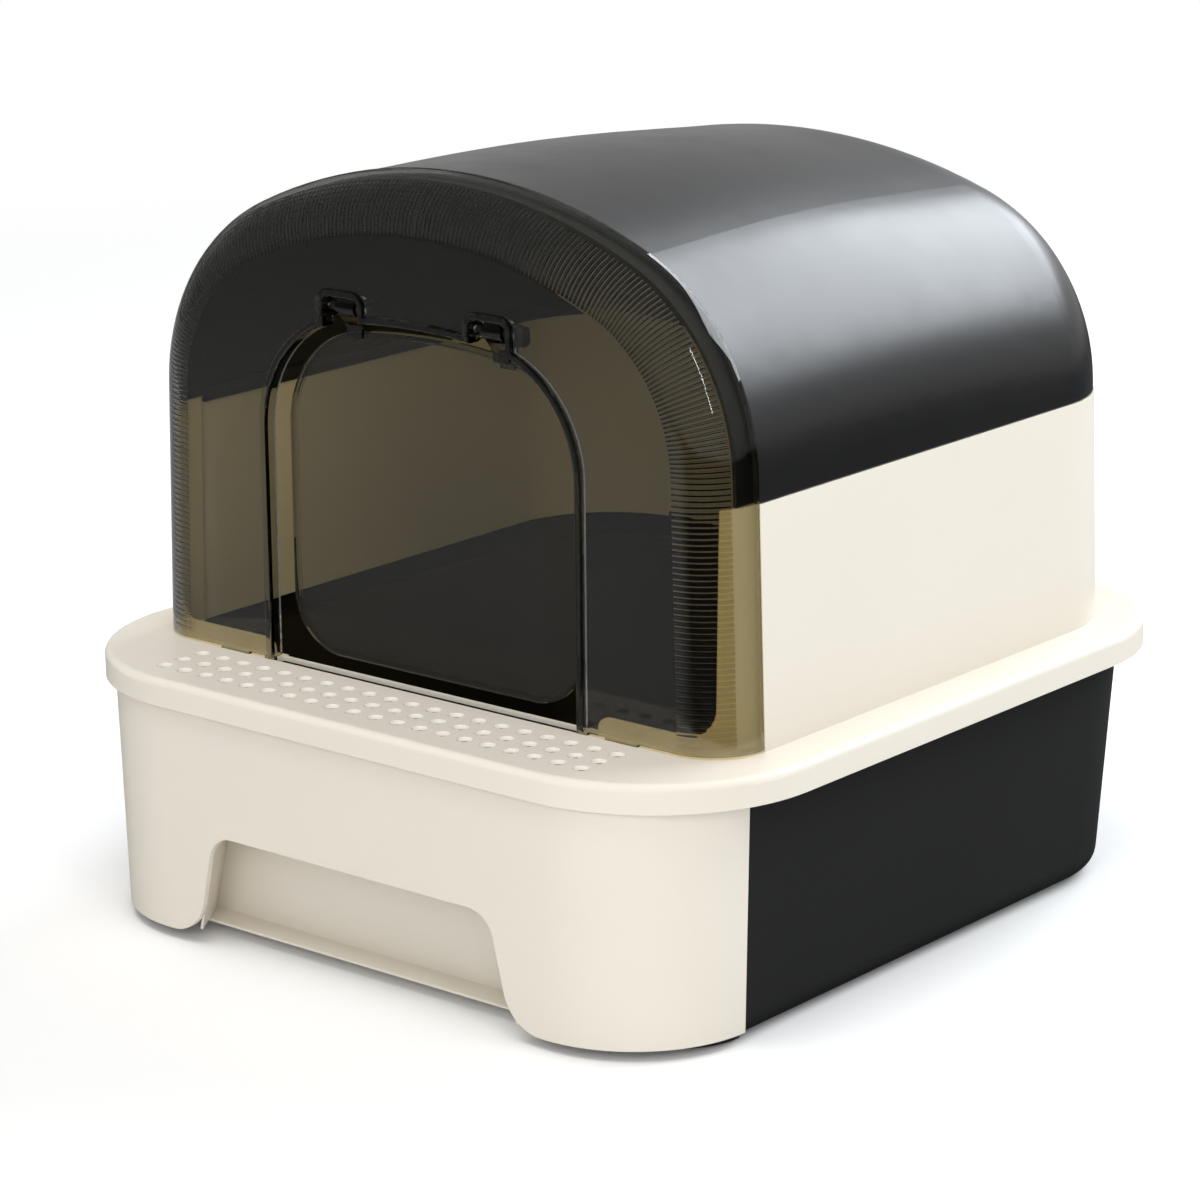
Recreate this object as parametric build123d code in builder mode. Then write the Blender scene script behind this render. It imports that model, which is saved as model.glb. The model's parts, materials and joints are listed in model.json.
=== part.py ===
# Hooded cat litter box: an open-fronted base with a pull-out litter drawer, a rimmed housing with a
# perforated treadle, an arched roof and a see-through front cover with a swinging flap.
# Millimetres. Z is up, the door faces -Y, X = 0 is the plane of symmetry and Z = 0 is the floor.
import os
from math import acos, cos, radians, sin, sqrt, tan

from build123d import *

os.makedirs("parts", exist_ok=True)

# ---- overall -------------------------------------------------------------------------------------
rim_width = 461.0  # housing rim, the widest part of the product
rim_length = 480.0
rim_corner = 98.0  # plan radius of the rim's corners
rim_top = 149.5  # height of the treadle surface
rim_skirt = 15.5  # height of the rim's outer edge
rim_round = 4.0  # rounded upper edge of the rim
belt = 278.0  # height where the roof sits on the housing
cover_setback = 65.3  # the cover's face stands this far behind the rim's front edge
cover_depth = 33.5  # from the cover's face to its joint with the housing and the roof
part_gap = 0.5  # visible joint between neighbouring mouldings
fit_gap = 0.3  # clearance between parts that seat on each other
beyond = 600.0  # size of the blocks that cut right through a moulding
overrun = 5.0  # cuts run past a face by this much
nudge = 1.0  # or by this much where little room is left

# ---- walls of the mouldings ----------------------------------------------------------------------
shell_wall = 2.5
tub_wall = 3.0
pan_wall = 2.5
cover_wall = 2.5

# ---- arch shared by the roof and the front cover -------------------------------------------------
side_draft = 1.6  # degrees, the housing and cover sides lean inwards
rim_ledge = 27.0  # width of the rim's top beside the hood
rim_ledge_rear = 26.0
hood_rear_corner = 73.0
shoulder_rise = 11.5  # the sides turn into the arch's shoulders this far above the belt
arch_corner = 118.0  # radius of the arch's shoulders
arch_crown = 314.0  # radius of the arch's top
rear_arch_corner = 117.0
rear_arch_crown = 378.0
roof_fall = 23.5  # how much lower the roof is at the back
roof_bow = 2.4  # the fall grows with this power of the distance from the front
roof_sections = 5  # arches that carry the roof's bowed line

# ---- lower body: one tapered outline shared by the base tub and the drawer fascia ------------------
rim_overhang = 19.5  # the rim overhangs the body's sides by this much
rim_overhang_front = 3.5
rim_overhang_rear = 18.0
body_front_corner = 73.0
body_rear_corner = 68.0
side_taper = 3.0  # how much each side comes in at the floor
front_taper = 2.0
rear_taper = 14.0
fascia_depth = 74.0  # the fascia's side walls reach this far back to the tub
tub_edge_round = 13.0
pad_height = 1.5  # how far the foot pads lift the tub
pad_radius = 9.0
pad_depth = 1.8  # how deep they sit in the tub's floor
pad_inset = 46.0  # from the tub's side to the pads' centres
pad_inset_front = 12.5
pad_inset_rear = 62.0
pad_chamfer = 0.5
web_thick = 2.0  # webs inside the rim that centre the housing on the tub
web_gap = 2.0
web_drop = 3.0  # they start this far above the rim's lower edge
web_spacing = 90.0
tub_floor = 4.0
tub_toe_setback = 34.5  # the tub's floor runs forward under the drawer, short of its face
tub_toe_inset = 8.0
tub_toe_corner = 40.0

# ---- drawer --------------------------------------------------------------------------------------
drawer_top = 133.0
pan_side_gap = 1.6  # between the pan's flange and the tub or fascia
pan_flange = 5.5
pan_flange_front = 7.6
pan_round = 14.0
pan_taper = 9.0  # the pan narrows towards its bottom
pan_setback = 40.5  # front wall of the deep part, behind the handle pocket
trough_floor = 74.0  # the shallow front part reaches under the treadle
runner_half_spacing = 130.0
runner_width = 8.0
runner_height = 3.2
runner_end = 15.0  # the runners end this far from the floor's edges
fascia_bottom = 6.0
cut_top = 66.5  # hand cut-out in the fascia
cut_top_half = 98.0
cut_foot_half = 107.0
cut_splay = 5.0  # how much wider the cut-out's straight sides run out than its foot
cut_corner = 17.0
cut_flare = 25.0
pocket_depth = 36.5
pocket_wall = 2.0
pocket_flare = 21.0  # the pocket widens behind the cut-out
pocket_lip = 16.0
pocket_floor = 8.6
pocket_rim = 10.0
pocket_rim_foot = 28.6  # height where the screwed rim starts
pocket_gap = 2.3  # between the fascia's wall and the pocket's front edge
pocket_ease = 1.0  # the pocket is this much wider than the cut-out
pocket_floor_wall = 1.5
ledge_thick = 2.5  # ledge inside the fascia that carries the pan's front flange
ledge_gap = 0.6
peg_radius = 2.2  # pegs on the ledge that hold the pan's flange
peg_xs = (-96.0, -32.0, 32.0, 96.0)
screw_inset = 8.0  # the outer screws sit this far inside the cut-out's top corners
screw_radius = 1.6
screw_head_radius = 3.2
screw_head = 1.8
screw_length = 7.0
screw_z = 75.0
boss_radius = 3.6
boss_length = 3.7

# ---- treadle -------------------------------------------------------------------------------------
hole_radius = 4.25
hole_columns = 20
hole_rows = 3
hole_pitch_x = 15.5
hole_pitch_y = 14.2
hole_setback = 35.6  # middle row, behind the rim's front edge

# ---- front cover and door --------------------------------------------------------------------------
cover_edge_round = 31.0
cover_lift = 1.3  # shadow gap under the cover
door_gap = 6.0  # between the flap and the doorway's edge
bead_width = 4.5
bead_proud = 1.2
bead_round = 1.1
flange_wall = 2.2  # rim turned inwards round the doorway
flange_depth = 4.5
feet = ((3.0, 7.0), (29.0, 21.0))  # tabs under the cover: distance outside the doorway and width
foot_depth = 4.0
tongue_gap = 0.5
tongue_wall = 2.0
tongue_setback = 8.2  # the tongues stay this far behind the cover's face
tongue_front_corner = 22.0
tongue_end = 14.0  # the side tongues end this far inside the hood's sides
tongue_corner = 16.0
tongue_root = 6.0  # how far the tongues are joined to the walls behind the seam
kerb_height = 9.0
kerb_end = 8.0  # the kerb ends this far outside the doorway
kerb_end_round = 7.0
kerb_cut = 30.0  # depth of the cuts that open the tongues' front
opening_ledge = 4.0  # ledge between the tongues and the opening over the drawer
roof_tongue = 13.0  # the roof's tongue reaches this far under the cover
roof_inset = 0.7  # the housing stands this much proud of the roof
roof_skirt = 4.0  # the roof's skirt reaches this far down inside the housing
roof_skirt_wall = 2.2
roof_skirt_head = 4.0  # the skirt is joined to the roof's wall over this height
roof_skirt_setback = 2.0  # the skirt starts this far behind the tongues

# ---- flap and its hinges ---------------------------------------------------------------------------
flap_setback = 13.7  # middle plane of the flap, behind the cover's face
flap_thick = 2.0
flap_half = 101.9
flap_bottom = 155.5
flap_top_corner = 58.0
flap_crown = 390.0
flap_spring = 279.5  # height where the flap's sides turn into its shoulders
flap_bottom_corner = 33.0
flap_bead_width = 3.5
flap_bead_thick = 3.2
flap_bead_round = 0.55
hinge_x = 51.0
pin_setback = 6.7  # the pins lie this far behind the cover's face
pin_rise = 10.6  # and this far above the flap's top
pin_radius = 2.2
pin_gap = 0.05  # running clearance round the hinge pins
head_width = 7.6  # rounded block on the pin's outer end
head_height = 11.0
head_thick = 5.0
head_round = 3.4
head_edge_round = 1.2
retainer_radius = 3.6
retainer_thick = 2.4
notch_half = 12.0
notch_rise = 6.0  # the doorway's notches reach this far above the pins
notch_round = 3.5
ear_thick = 4.0
ear_radius = 6.0
strap_top_width = 13.0
strap_foot_width = 9.5
strap_thick = 1.6
strap_eye = 4.6
strap_front_foot = 6.4  # the strap's front leaf grips this much of the flap
strap_rear_foot = 10.4


# ---- levels and planes that follow from the sizes above ---------------------------------------------
hood_half = rim_width / 2 - rim_ledge
hood_rear = rim_length / 2 - rim_ledge_rear
body_half = rim_width / 2 - rim_overhang
body_front = -rim_length / 2 + rim_overhang_front
body_rear = rim_length / 2 - rim_overhang_rear
body_seam = body_front + fascia_depth
cover_front = -rim_length / 2 + cover_setback
seam = cover_front + cover_depth
arch_spring = belt + shoulder_rise
tub_bottom = pad_height
floor_top = tub_bottom + tub_floor
plate_bottom = rim_top - shell_wall
skirt_bottom = rim_top - rim_skirt
tub_top = plate_bottom - fit_gap
wall_top = belt - part_gap / 2
tub_toe_front = body_front + tub_toe_setback
pan_front = body_front + pan_setback
runner_front = tub_toe_front + runner_end
runner_rear = body_rear - rear_taper - runner_end
tongue_inset = cover_wall + tongue_gap
tongue_front = cover_front + tongue_setback
tongue_span = seam + tongue_root
roof_foot = belt + part_gap / 2
roof_front = seam + part_gap / 2
belt_rise = (belt - rim_top) * tan(radians(side_draft))
roof_rear = hood_rear - belt_rise - roof_inset
roof_rear_round = hood_rear_corner - belt_rise - roof_inset
cover_rear = seam - part_gap / 2
cover_foot = rim_top + cover_lift
cover_inside = cover_front + cover_wall
cover_inner_round = cover_edge_round - cover_wall
tongue_reach = roof_tongue - (cover_depth - cover_edge_round)
roof_tongue_inset = (
    cover_wall + tongue_gap + cover_inner_round - sqrt(cover_inner_round**2 - tongue_reach**2)
)
door_half = flap_half + door_gap
kerb_half = door_half + kerb_end
outer_screw = cut_top_half - screw_inset
screw_xs = (-outer_screw, -outer_screw / 3, outer_screw / 3, outer_screw)
foot_spots = [(side * (door_half + outside), width) for side in (-1, 1) for outside, width in feet]
flap_y = cover_front + flap_setback
flange_inset = tub_wall + pan_side_gap
flange_bottom = drawer_top - pan_wall
pan_bottom = floor_top + runner_height + fit_gap
fascia_inside = body_front + tub_wall
pad_spots = [
    (side * (body_half - pad_inset), y)
    for side in (-1, 1)
    for y in (body_seam + pad_inset_front, body_rear - pad_inset_rear)
]


# ---- shared outlines -------------------------------------------------------------------------------
def front_plane(y):
    # a vertical plane that faces the door side; its sketches use X and Z
    return Plane(origin=(0, y, 0), x_dir=(1, 0, 0), z_dir=(0, -1, 0))


def plan_outline(z, half, front, rear, front_corner, rear_corner):
    # a rectangle with its own corner radius in front and behind
    with BuildSketch(Plane.XY.offset(z)) as outline:
        with Locations((0, (front + rear) / 2)):
            Rectangle(2 * half, rear - front)
        if front_corner > 0:
            fillet(outline.vertices().group_by(Axis.Y)[0], front_corner)
        if rear_corner > 0:
            fillet(outline.vertices().group_by(Axis.Y)[-1], rear_corner)
    return outline.sketch


def body_outline(z, inset=0.0, front=None, square_front=False):
    # the tapered lower body at height z, taken in by inset
    fall = (rim_top - rim_skirt - z) / (rim_top - rim_skirt)
    front_y = body_front + front_taper * fall + inset if front is None else front
    return plan_outline(
        z,
        body_half - side_taper * fall - inset,
        front_y,
        body_rear - rear_taper * fall - inset,
        0 if square_front else body_front_corner - inset,
        body_rear_corner - inset,
    )


def hood_outline(z, inset=0.0, front=seam, front_corner=0.0):
    rise = (z - rim_top) * tan(radians(side_draft))
    return plan_outline(
        z,
        hood_half - rise - inset,
        front,
        hood_rear - rise - inset,
        front_corner,
        hood_rear_corner - rise - inset,
    )


def arch_rise(side, spring, corner, crown, draft=0.0):
    # height of the arch's top above its spring, the height where the sides turn into the shoulders
    lean = side - corner / cos(radians(draft)) - spring * tan(radians(draft))
    return crown - sqrt((crown - corner) ** 2 - lean**2)


def arch_face(plane, foot, side, spring, corner, crown, draft=0.0, inset=0.0):
    # an arch of two leaning sides, two shoulders and a crown; side is its half width at height 0
    slope = tan(radians(draft))
    centre_x = side - corner / cos(radians(draft)) - spring * slope
    top = spring + arch_rise(side, spring, corner, crown, draft)
    radius = corner - inset
    foot_x = side - inset / cos(radians(draft)) - foot * slope
    across = centre_x / (crown - corner)
    start = radians(draft)
    finish = acos(across)
    half_way = (start + finish) / 2
    side_end, middle, shoulder = [
        (centre_x + radius * cos(angle), spring + radius * sin(angle)) for angle in (start, half_way, finish)
    ]
    with BuildSketch(plane) as arch:
        with BuildLine():
            Line((foot_x, foot), side_end)
            ThreePointArc(side_end, middle, shoulder)
            ThreePointArc(shoulder, (0, top - inset), (-shoulder[0], shoulder[1]))
            ThreePointArc((-shoulder[0], shoulder[1]), (-middle[0], middle[1]), (-side_end[0], side_end[1]))
            Line((-side_end[0], side_end[1]), (-foot_x, foot))
            Line((-foot_x, foot), (foot_x, foot))
        make_face()
    return arch.sketch


side_at_floor = hood_half + rim_top * tan(radians(side_draft))
apex = arch_spring + arch_rise(side_at_floor, arch_spring, arch_corner, arch_crown, side_draft)


def hood_arch(y, foot, inset=0.0):
    return arch_face(
        front_plane(y), foot, side_at_floor, arch_spring, arch_corner, arch_crown, side_draft, inset
    )


def roof_arch(y, inset=0.0):
    # the roof's arch at distance y: its shoulders widen and its top falls towards the back
    along = max(0, y - seam) / (roof_rear - seam)
    corner = arch_corner + (rear_arch_corner - arch_corner) * along
    crown = arch_crown + (rear_arch_crown - arch_crown) * along
    top = apex - roof_fall * along**roof_bow
    spring = top - arch_rise(side_at_floor, arch_spring, corner, crown, side_draft)
    spring = max(spring, roof_foot + fit_gap)
    return arch_face(front_plane(y), roof_foot, side_at_floor, spring, corner, crown, side_draft, inset)


def roof_solid(front, inset):
    # a bowed loft whose back end is rounded like the hood's corners
    length = (roof_rear + roof_inset - inset - front) / (roof_sections - 1)
    with BuildPart(mode=Mode.PRIVATE) as roof:
        loft([roof_arch(front + length * i, inset) for i in range(roof_sections)])
        back = roof.faces().sort_by(Axis.Y)[-1]
        fillet(back.edges().sort_by(Axis.Z)[1:], roof_rear_round + roof_inset - inset)
    return roof.part


def door_arch(plane, foot, grow=0.0):
    # the flap's outline grown outwards
    return arch_face(
        plane, foot, flap_half + grow, flap_spring, flap_top_corner + grow, flap_crown + grow
    )


flap_top = flap_spring + arch_rise(flap_half, flap_spring, flap_top_corner, flap_crown)
pin_y = cover_front + pin_setback
pin_z = flap_top + pin_rise


def door_face(y, foot, grow=0.0):
    # the doorway with its two hinge notches, grown outwards by grow
    notch_top = pin_z + notch_rise + grow
    with BuildSketch(front_plane(y)) as door:
        add(door_arch(Plane.XY, foot, door_gap + grow))
        for side in (-1, 1):
            with BuildSketch(mode=Mode.PRIVATE) as notch:
                with Locations((side * hinge_x, (notch_top + flap_spring) / 2)):
                    Rectangle(2 * (notch_half + grow), notch_top - flap_spring)
                fillet(notch.vertices().group_by(Axis.Y)[-1], notch_round + grow)
            add(notch.sketch)
    return door.sketch


def export(piece, name):
    piece.part.label = name
    export_step(piece.part, f"parts/{name}.step")


# ---- base tub: open-fronted black base whose floor runs forward under the drawer -------------------
with BuildPart() as tub_cavity:
    loft([
        body_outline(floor_top, tub_wall, body_seam - overrun, True),
        body_outline(tub_top + overrun, tub_wall, body_seam - overrun, True),
    ])
    fillet(tub_cavity.faces().sort_by(Axis.Z)[0].edges().sort_by(Axis.Y)[1:], tub_edge_round - tub_wall)

with BuildPart() as base_tub:
    loft([
        body_outline(tub_bottom, 0, body_seam, True),
        body_outline(tub_top, 0, body_seam, True),
    ])
    fillet(base_tub.faces().sort_by(Axis.Z)[0].edges().sort_by(Axis.Y)[1:], tub_edge_round)
    extrude(plan_outline(
        tub_bottom, body_half - tub_toe_inset, tub_toe_front, body_seam + nudge, tub_toe_corner, 0
    ), amount=tub_floor)
    add(tub_cavity.part, mode=Mode.SUBTRACT)
    with BuildSketch(Plane.XY.offset(floor_top)):
        runner_middle = (runner_front + runner_rear) / 2
        with Locations((-runner_half_spacing, runner_middle), (runner_half_spacing, runner_middle)):
            Rectangle(runner_width, runner_rear - runner_front)
    extrude(amount=runner_height)
    with Locations(Plane.XY.offset(tub_bottom)):
        with Locations(*pad_spots):
            Cylinder(pad_radius + fit_gap, 2 * pad_depth, mode=Mode.SUBTRACT)
export(base_tub, "base_tub")

# ---- foot pads: four soft pads pressed into the underside of the tub -------------------------------
with BuildPart() as foot_pads:
    with BuildSketch(Plane.XY):
        with Locations(*pad_spots):
            Circle(pad_radius)
    extrude(amount=pad_height + pad_depth - fit_gap)
    chamfer(foot_pads.edges().group_by(Axis.Z)[0], pad_chamfer)
export(foot_pads, "foot_pads")

# ---- middle housing: rim, perforated treadle, hood walls and the tongues the cover fits over -------
with BuildPart() as tongue:
    loft([
        hood_outline(plate_bottom, tongue_inset, tongue_front, tongue_front_corner),
        hood_outline(wall_top, tongue_inset, tongue_front, tongue_front_corner),
    ])
    loft([
        hood_outline(
            plate_bottom, tongue_inset + tongue_wall, tongue_front + tongue_wall, tongue_front_corner - tongue_wall
        ),
        hood_outline(
            wall_top, tongue_inset + tongue_wall, tongue_front + tongue_wall, tongue_front_corner - tongue_wall
        ),
    ], mode=Mode.SUBTRACT)
    with Locations((0, tongue_span + beyond / 2, belt)):
        Box(beyond, beyond, beyond, mode=Mode.SUBTRACT)
    with BuildSketch(front_plane(tongue_front + tongue_front_corner)):
        with Locations((0, rim_top + kerb_height + beyond / 2)):
            Rectangle(2 * (hood_half - tongue_end), beyond)
        fillet(vertices().group_by(Axis.Y)[0], tongue_corner)
    extrude(amount=kerb_cut, mode=Mode.SUBTRACT)
    with BuildSketch(front_plane(tongue_front + tongue_front_corner)):
        with Locations((0, rim_top + kerb_height)):
            Rectangle(2 * kerb_half, 2 * kerb_height)
        with Locations((0, rim_top + kerb_height + kerb_cut / 2)):
            Rectangle(2 * (kerb_half + kerb_cut), kerb_cut)
        fillet(vertices().filter_by(lambda v: abs(v.Y - rim_top - kerb_height) < 0.1 and
                                    abs(v.X) < kerb_half + nudge), kerb_end_round)
    extrude(amount=kerb_cut, mode=Mode.SUBTRACT)

with BuildPart() as middle_housing:
    extrude(plan_outline(skirt_bottom, rim_width / 2, -rim_length / 2, rim_length / 2, rim_corner, rim_corner),
            amount=rim_skirt)
    fillet(middle_housing.faces().sort_by(Axis.Z)[-1].edges(), rim_round)
    extrude(plan_outline(
        skirt_bottom, rim_width / 2 - shell_wall, -rim_length / 2 + shell_wall, rim_length / 2 - shell_wall,
        rim_corner - shell_wall, rim_corner - shell_wall,
    ), amount=rim_skirt - shell_wall, mode=Mode.SUBTRACT)
    loft([hood_outline(plate_bottom, 0, seam + part_gap / 2), hood_outline(wall_top, 0, seam + part_gap / 2)])
    loft([
        hood_outline(plate_bottom, shell_wall, seam - overrun), hood_outline(wall_top, shell_wall, seam - overrun)
    ], mode=Mode.SUBTRACT)
    # opening over the drawer, with the doorway's floor
    extrude(hood_outline(
        plate_bottom, tongue_inset + tongue_wall, tongue_front + opening_ledge, tongue_front_corner - opening_ledge
    ), amount=shell_wall, mode=Mode.SUBTRACT)
    with BuildSketch(Plane.XY.offset(plate_bottom)):
        with Locations((0, (cover_front + tongue_front) / 2 + overrun)):
            Rectangle(2 * door_half, tongue_front - cover_front + 2 * overrun)
    extrude(amount=shell_wall, mode=Mode.SUBTRACT)
    add(tongue.part)
    # the tongues' roots, thickened walls just behind the seam
    with BuildPart(mode=Mode.PRIVATE) as root:
        loft([
            hood_outline(plate_bottom, part_gap, seam + part_gap / 2),
            hood_outline(wall_top, part_gap, seam + part_gap / 2),
        ])
        loft([
            hood_outline(plate_bottom, tongue_inset + tongue_wall, seam - overrun),
            hood_outline(wall_top, tongue_inset + tongue_wall, seam - overrun),
        ], mode=Mode.SUBTRACT)
        with Locations((0, tongue_span + beyond / 2, belt)):
            Box(beyond, beyond, beyond, mode=Mode.SUBTRACT)
    add(root.part)
    # treadle perforations
    with BuildSketch(Plane.XY.offset(plate_bottom)):
        with Locations((0, -rim_length / 2 + hole_setback)):
            with GridLocations(hole_pitch_x, hole_pitch_y, hole_columns, hole_rows):
                Circle(hole_radius)
    extrude(amount=shell_wall, mode=Mode.SUBTRACT)
    # slots for the cover's tabs
    with BuildSketch(Plane.XY.offset(plate_bottom)):
        for x, width in foot_spots:
            with Locations((x, cover_front + cover_wall / 2)):
                Rectangle(width + 2 * fit_gap, cover_wall + 2 * fit_gap)
    extrude(amount=shell_wall, mode=Mode.SUBTRACT)
    # webs under the rim that centre the housing on the tub
    web_start = body_half + web_gap
    web_end = (rim_width - shell_wall) / 2
    web_start_rear = body_rear + web_gap
    web_end_rear = (rim_length - shell_wall) / 2
    with BuildSketch(Plane.XY.offset(skirt_bottom + web_drop)):
        for y in (-web_spacing, 0, web_spacing):
            for side in (-1, 1):
                with Locations((side * (web_start + web_end) / 2, y)):
                    Rectangle(web_end - web_start, web_thick)
        for x in (-web_spacing, web_spacing):
            with Locations((x, (web_start_rear + web_end_rear) / 2)):
                Rectangle(web_thick, web_end_rear - web_start_rear)
    extrude(amount=rim_skirt - shell_wall - web_drop)
export(middle_housing, "middle_housing")

# ---- roof cover: arched black shell, lower at the back -----------------------------------------------
with BuildPart() as roof_cover:
    add(roof_solid(roof_front, roof_inset))
    add(roof_solid(roof_front - nudge, roof_inset + shell_wall), mode=Mode.SUBTRACT)
    # tongue under the cover and its root behind the seam
    tongue_inside = hood_arch(tongue_span, roof_foot, roof_tongue_inset + tongue_wall)
    extrude(hood_arch(tongue_span, roof_foot, roof_inset + part_gap) - tongue_inside,
            amount=tongue_root - part_gap / 2)
    extrude(hood_arch(tongue_span, roof_foot, roof_tongue_inset) - tongue_inside,
            amount=tongue_root + roof_tongue)
    # skirt inside the housing
    skirt_top = belt + roof_skirt_head
    skirt_front = tongue_span + roof_skirt_setback
    skirt_hollow = hood_outline(skirt_top, shell_wall + fit_gap + roof_skirt_wall, skirt_front - nudge)
    extrude(hood_outline(skirt_top, roof_inset + part_gap, skirt_front) - skirt_hollow,
            amount=-(roof_skirt_head - part_gap / 2))
    extrude(hood_outline(skirt_top, shell_wall + fit_gap, skirt_front) - skirt_hollow,
            amount=-(roof_skirt_head + roof_skirt))
export(roof_cover, "roof_cover")

# ---- front cover: see-through arch with the doorway, its bead, the hinge ears and the foot tabs ------
with BuildPart() as cover_cavity:
    extrude(hood_arch(cover_rear + nudge, cover_foot - overrun, cover_wall), amount=cover_rear + nudge - cover_inside)
    fillet(cover_cavity.faces().sort_by(Axis.Y)[0].edges().sort_by(Axis.Z)[1:], cover_edge_round - cover_wall)

with BuildPart() as front_cover:
    extrude(hood_arch(cover_rear, cover_foot), amount=cover_rear - cover_front)
    fillet(front_cover.faces().sort_by(Axis.Y)[0].edges().sort_by(Axis.Z)[1:], cover_edge_round)
    add(cover_cavity.part, mode=Mode.SUBTRACT)
    extrude(door_face(cover_inside, cover_foot, bead_width), amount=cover_wall + bead_proud)
    extrude(door_face(cover_inside + flange_depth, cover_foot, flange_wall), amount=flange_depth)
    # ears that hold the hinge pins, two beside each notch
    for hinge in (-hinge_x, hinge_x):
        for side in (-1, 1):
            with BuildSketch(Plane.YZ.offset(hinge + side * (notch_half + ear_thick / 2))):
                with Locations((pin_y, pin_z)):
                    Circle(ear_radius)
                with Locations(((pin_y + cover_inside) / 2, pin_z)):
                    Rectangle(pin_y - cover_inside, 2 * ear_radius)
            extrude(amount=ear_thick / 2, both=True)
    extrude(door_face(cover_inside + beyond / 2, cover_foot - beyond / 2), amount=beyond, mode=Mode.SUBTRACT)
    bead_edges = front_cover.edges().group_by(Axis.Y)[0].filter_by(lambda e: e.center().Z > cover_foot + part_gap)
    fillet(bead_edges, bead_round)
    for hinge in (-hinge_x, hinge_x):
        with BuildSketch(Plane.YZ.offset(hinge)):
            with Locations((pin_y, pin_z)):
                Circle(pin_radius + pin_gap)
        extrude(amount=notch_half + ear_thick + nudge, both=True, mode=Mode.SUBTRACT)
    # tabs that stand in the housing's slots
    with BuildSketch(Plane.XY.offset(cover_foot)):
        for x, width in foot_spots:
            with Locations((x, cover_front + cover_wall / 2)):
                Rectangle(width, cover_wall)
    extrude(amount=-foot_depth)
export(front_cover, "front_cover")

# ---- door flap: see-through panel with a raised bead round its edge ----------------------------------
with BuildPart() as door_flap:
    with BuildSketch(front_plane(flap_y)) as flap_outline:
        add(door_arch(Plane.XY, flap_bottom))
        fillet(flap_outline.vertices().group_by(Axis.Y)[0], flap_bottom_corner)
    extrude(amount=flap_bead_thick / 2, both=True)
    for side in (-1, 1):
        with BuildSketch(front_plane(flap_y + side * flap_bead_thick / 2)):
            add(offset(flap_outline.sketch_local, amount=-flap_bead_width, mode=Mode.PRIVATE))
        extrude(amount=side * (flap_bead_thick - flap_thick) / 2, mode=Mode.SUBTRACT)
    fillet(door_flap.edges().group_by(Axis.Y)[0] + door_flap.edges().group_by(Axis.Y)[-1], flap_bead_round)
export(door_flap, "door_flap")


# ---- hinges: a pin through the cover's ears carries a strap that grips the flap's top edge -------------
grip_front = flap_y - flap_bead_thick / 2 - fit_gap
grip_rear = flap_y + flap_bead_thick / 2 + fit_gap
grip_top = flap_top - fit_gap

with BuildPart() as strap_shape:
    # side view: the eye, an arm that leans back from it, and a fork over the flap's edge
    with BuildSketch(Plane.YZ):
        with Locations((pin_y, pin_z)):
            Circle(strap_eye)
        with BuildLine():
            Polyline(
                (pin_y - strap_eye, pin_z), (pin_y + strap_eye, pin_z),
                (grip_rear + strap_thick, grip_top + strap_thick + 2 * fit_gap),
                (grip_rear + strap_thick, flap_top - strap_rear_foot), (grip_rear, flap_top - strap_rear_foot),
                (grip_rear, flap_top + fit_gap), (grip_front, flap_top + fit_gap),
                (grip_front, flap_top - strap_front_foot),
                (grip_front - strap_thick, flap_top - strap_front_foot),
                (grip_front - strap_thick, flap_top + fit_gap),
                close=True,
            )
        make_face()
    extrude(amount=strap_top_width / 2, both=True)
    # front view: it tapers towards its foot
    with BuildSketch(front_plane(pin_y)):
        with Locations((0, pin_z)):
            Circle(strap_top_width)
        with BuildLine():
            Polyline(
                (-strap_top_width / 2, pin_z), (strap_top_width / 2, pin_z),
                (strap_foot_width / 2, flap_top - strap_rear_foot),
                (-strap_foot_width / 2, flap_top - strap_rear_foot),
                close=True,
            )
        make_face()
    extrude(amount=flap_setback, both=True, mode=Mode.INTERSECT)
    with BuildSketch(Plane.YZ):
        with Locations((pin_y, pin_z)):
            Circle(pin_radius + pin_gap)
    extrude(amount=strap_top_width, both=True, mode=Mode.SUBTRACT)

pin_inner = notch_half + ear_thick + fit_gap

for name, side in (("left", -1), ("right", 1)):
    with BuildPart() as hinge_strap:
        with Locations((side * hinge_x, 0, 0)):
            add(strap_shape.part)
    export(hinge_strap, f"hinge_strap_{name}")

    with BuildPart() as hinge_pin:
        with BuildSketch(Plane.YZ.offset(side * (hinge_x - pin_inner - retainer_thick))):
            with Locations((pin_y, pin_z)):
                Circle(pin_radius)
        extrude(amount=side * (2 * pin_inner + retainer_thick + head_thick / 2))
        with BuildSketch(Plane.YZ.offset(side * (hinge_x + pin_inner))):
            with Locations((pin_y, pin_z)):
                Rectangle(head_width, head_height)
            fillet(vertices(), head_round)
        extrude(amount=side * head_thick)
        fillet(hinge_pin.faces().sort_by(Axis.X)[-1 if side > 0 else 0].edges(), head_edge_round)
    export(hinge_pin, f"hinge_pin_{name}")

# ---- pin retainers: push-on rings at the inner ends of the pins ------------------------------------------
with BuildPart() as pin_retainers:
    for side in (-1, 1):
        with BuildSketch(Plane.YZ.offset(side * (hinge_x - pin_inner))):
            with Locations((pin_y, pin_z)):
                Circle(retainer_radius)
                Circle(pin_radius + pin_gap, mode=Mode.SUBTRACT)
        extrude(amount=-side * (retainer_thick - fit_gap))
export(pin_retainers, "pin_retainers")

# ---- litter pan: deep tray whose front shelf reaches under the treadle ------------------------------------
def pan_outline(z, inset, front):
    # the pan's wall follows the tub and narrows by pan_taper towards its bottom
    fall = (flange_bottom - z) / (flange_bottom - pan_bottom)
    taper = inset + pan_taper * fall
    return body_outline(z, flange_inset + pan_flange + taper, front)


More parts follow.
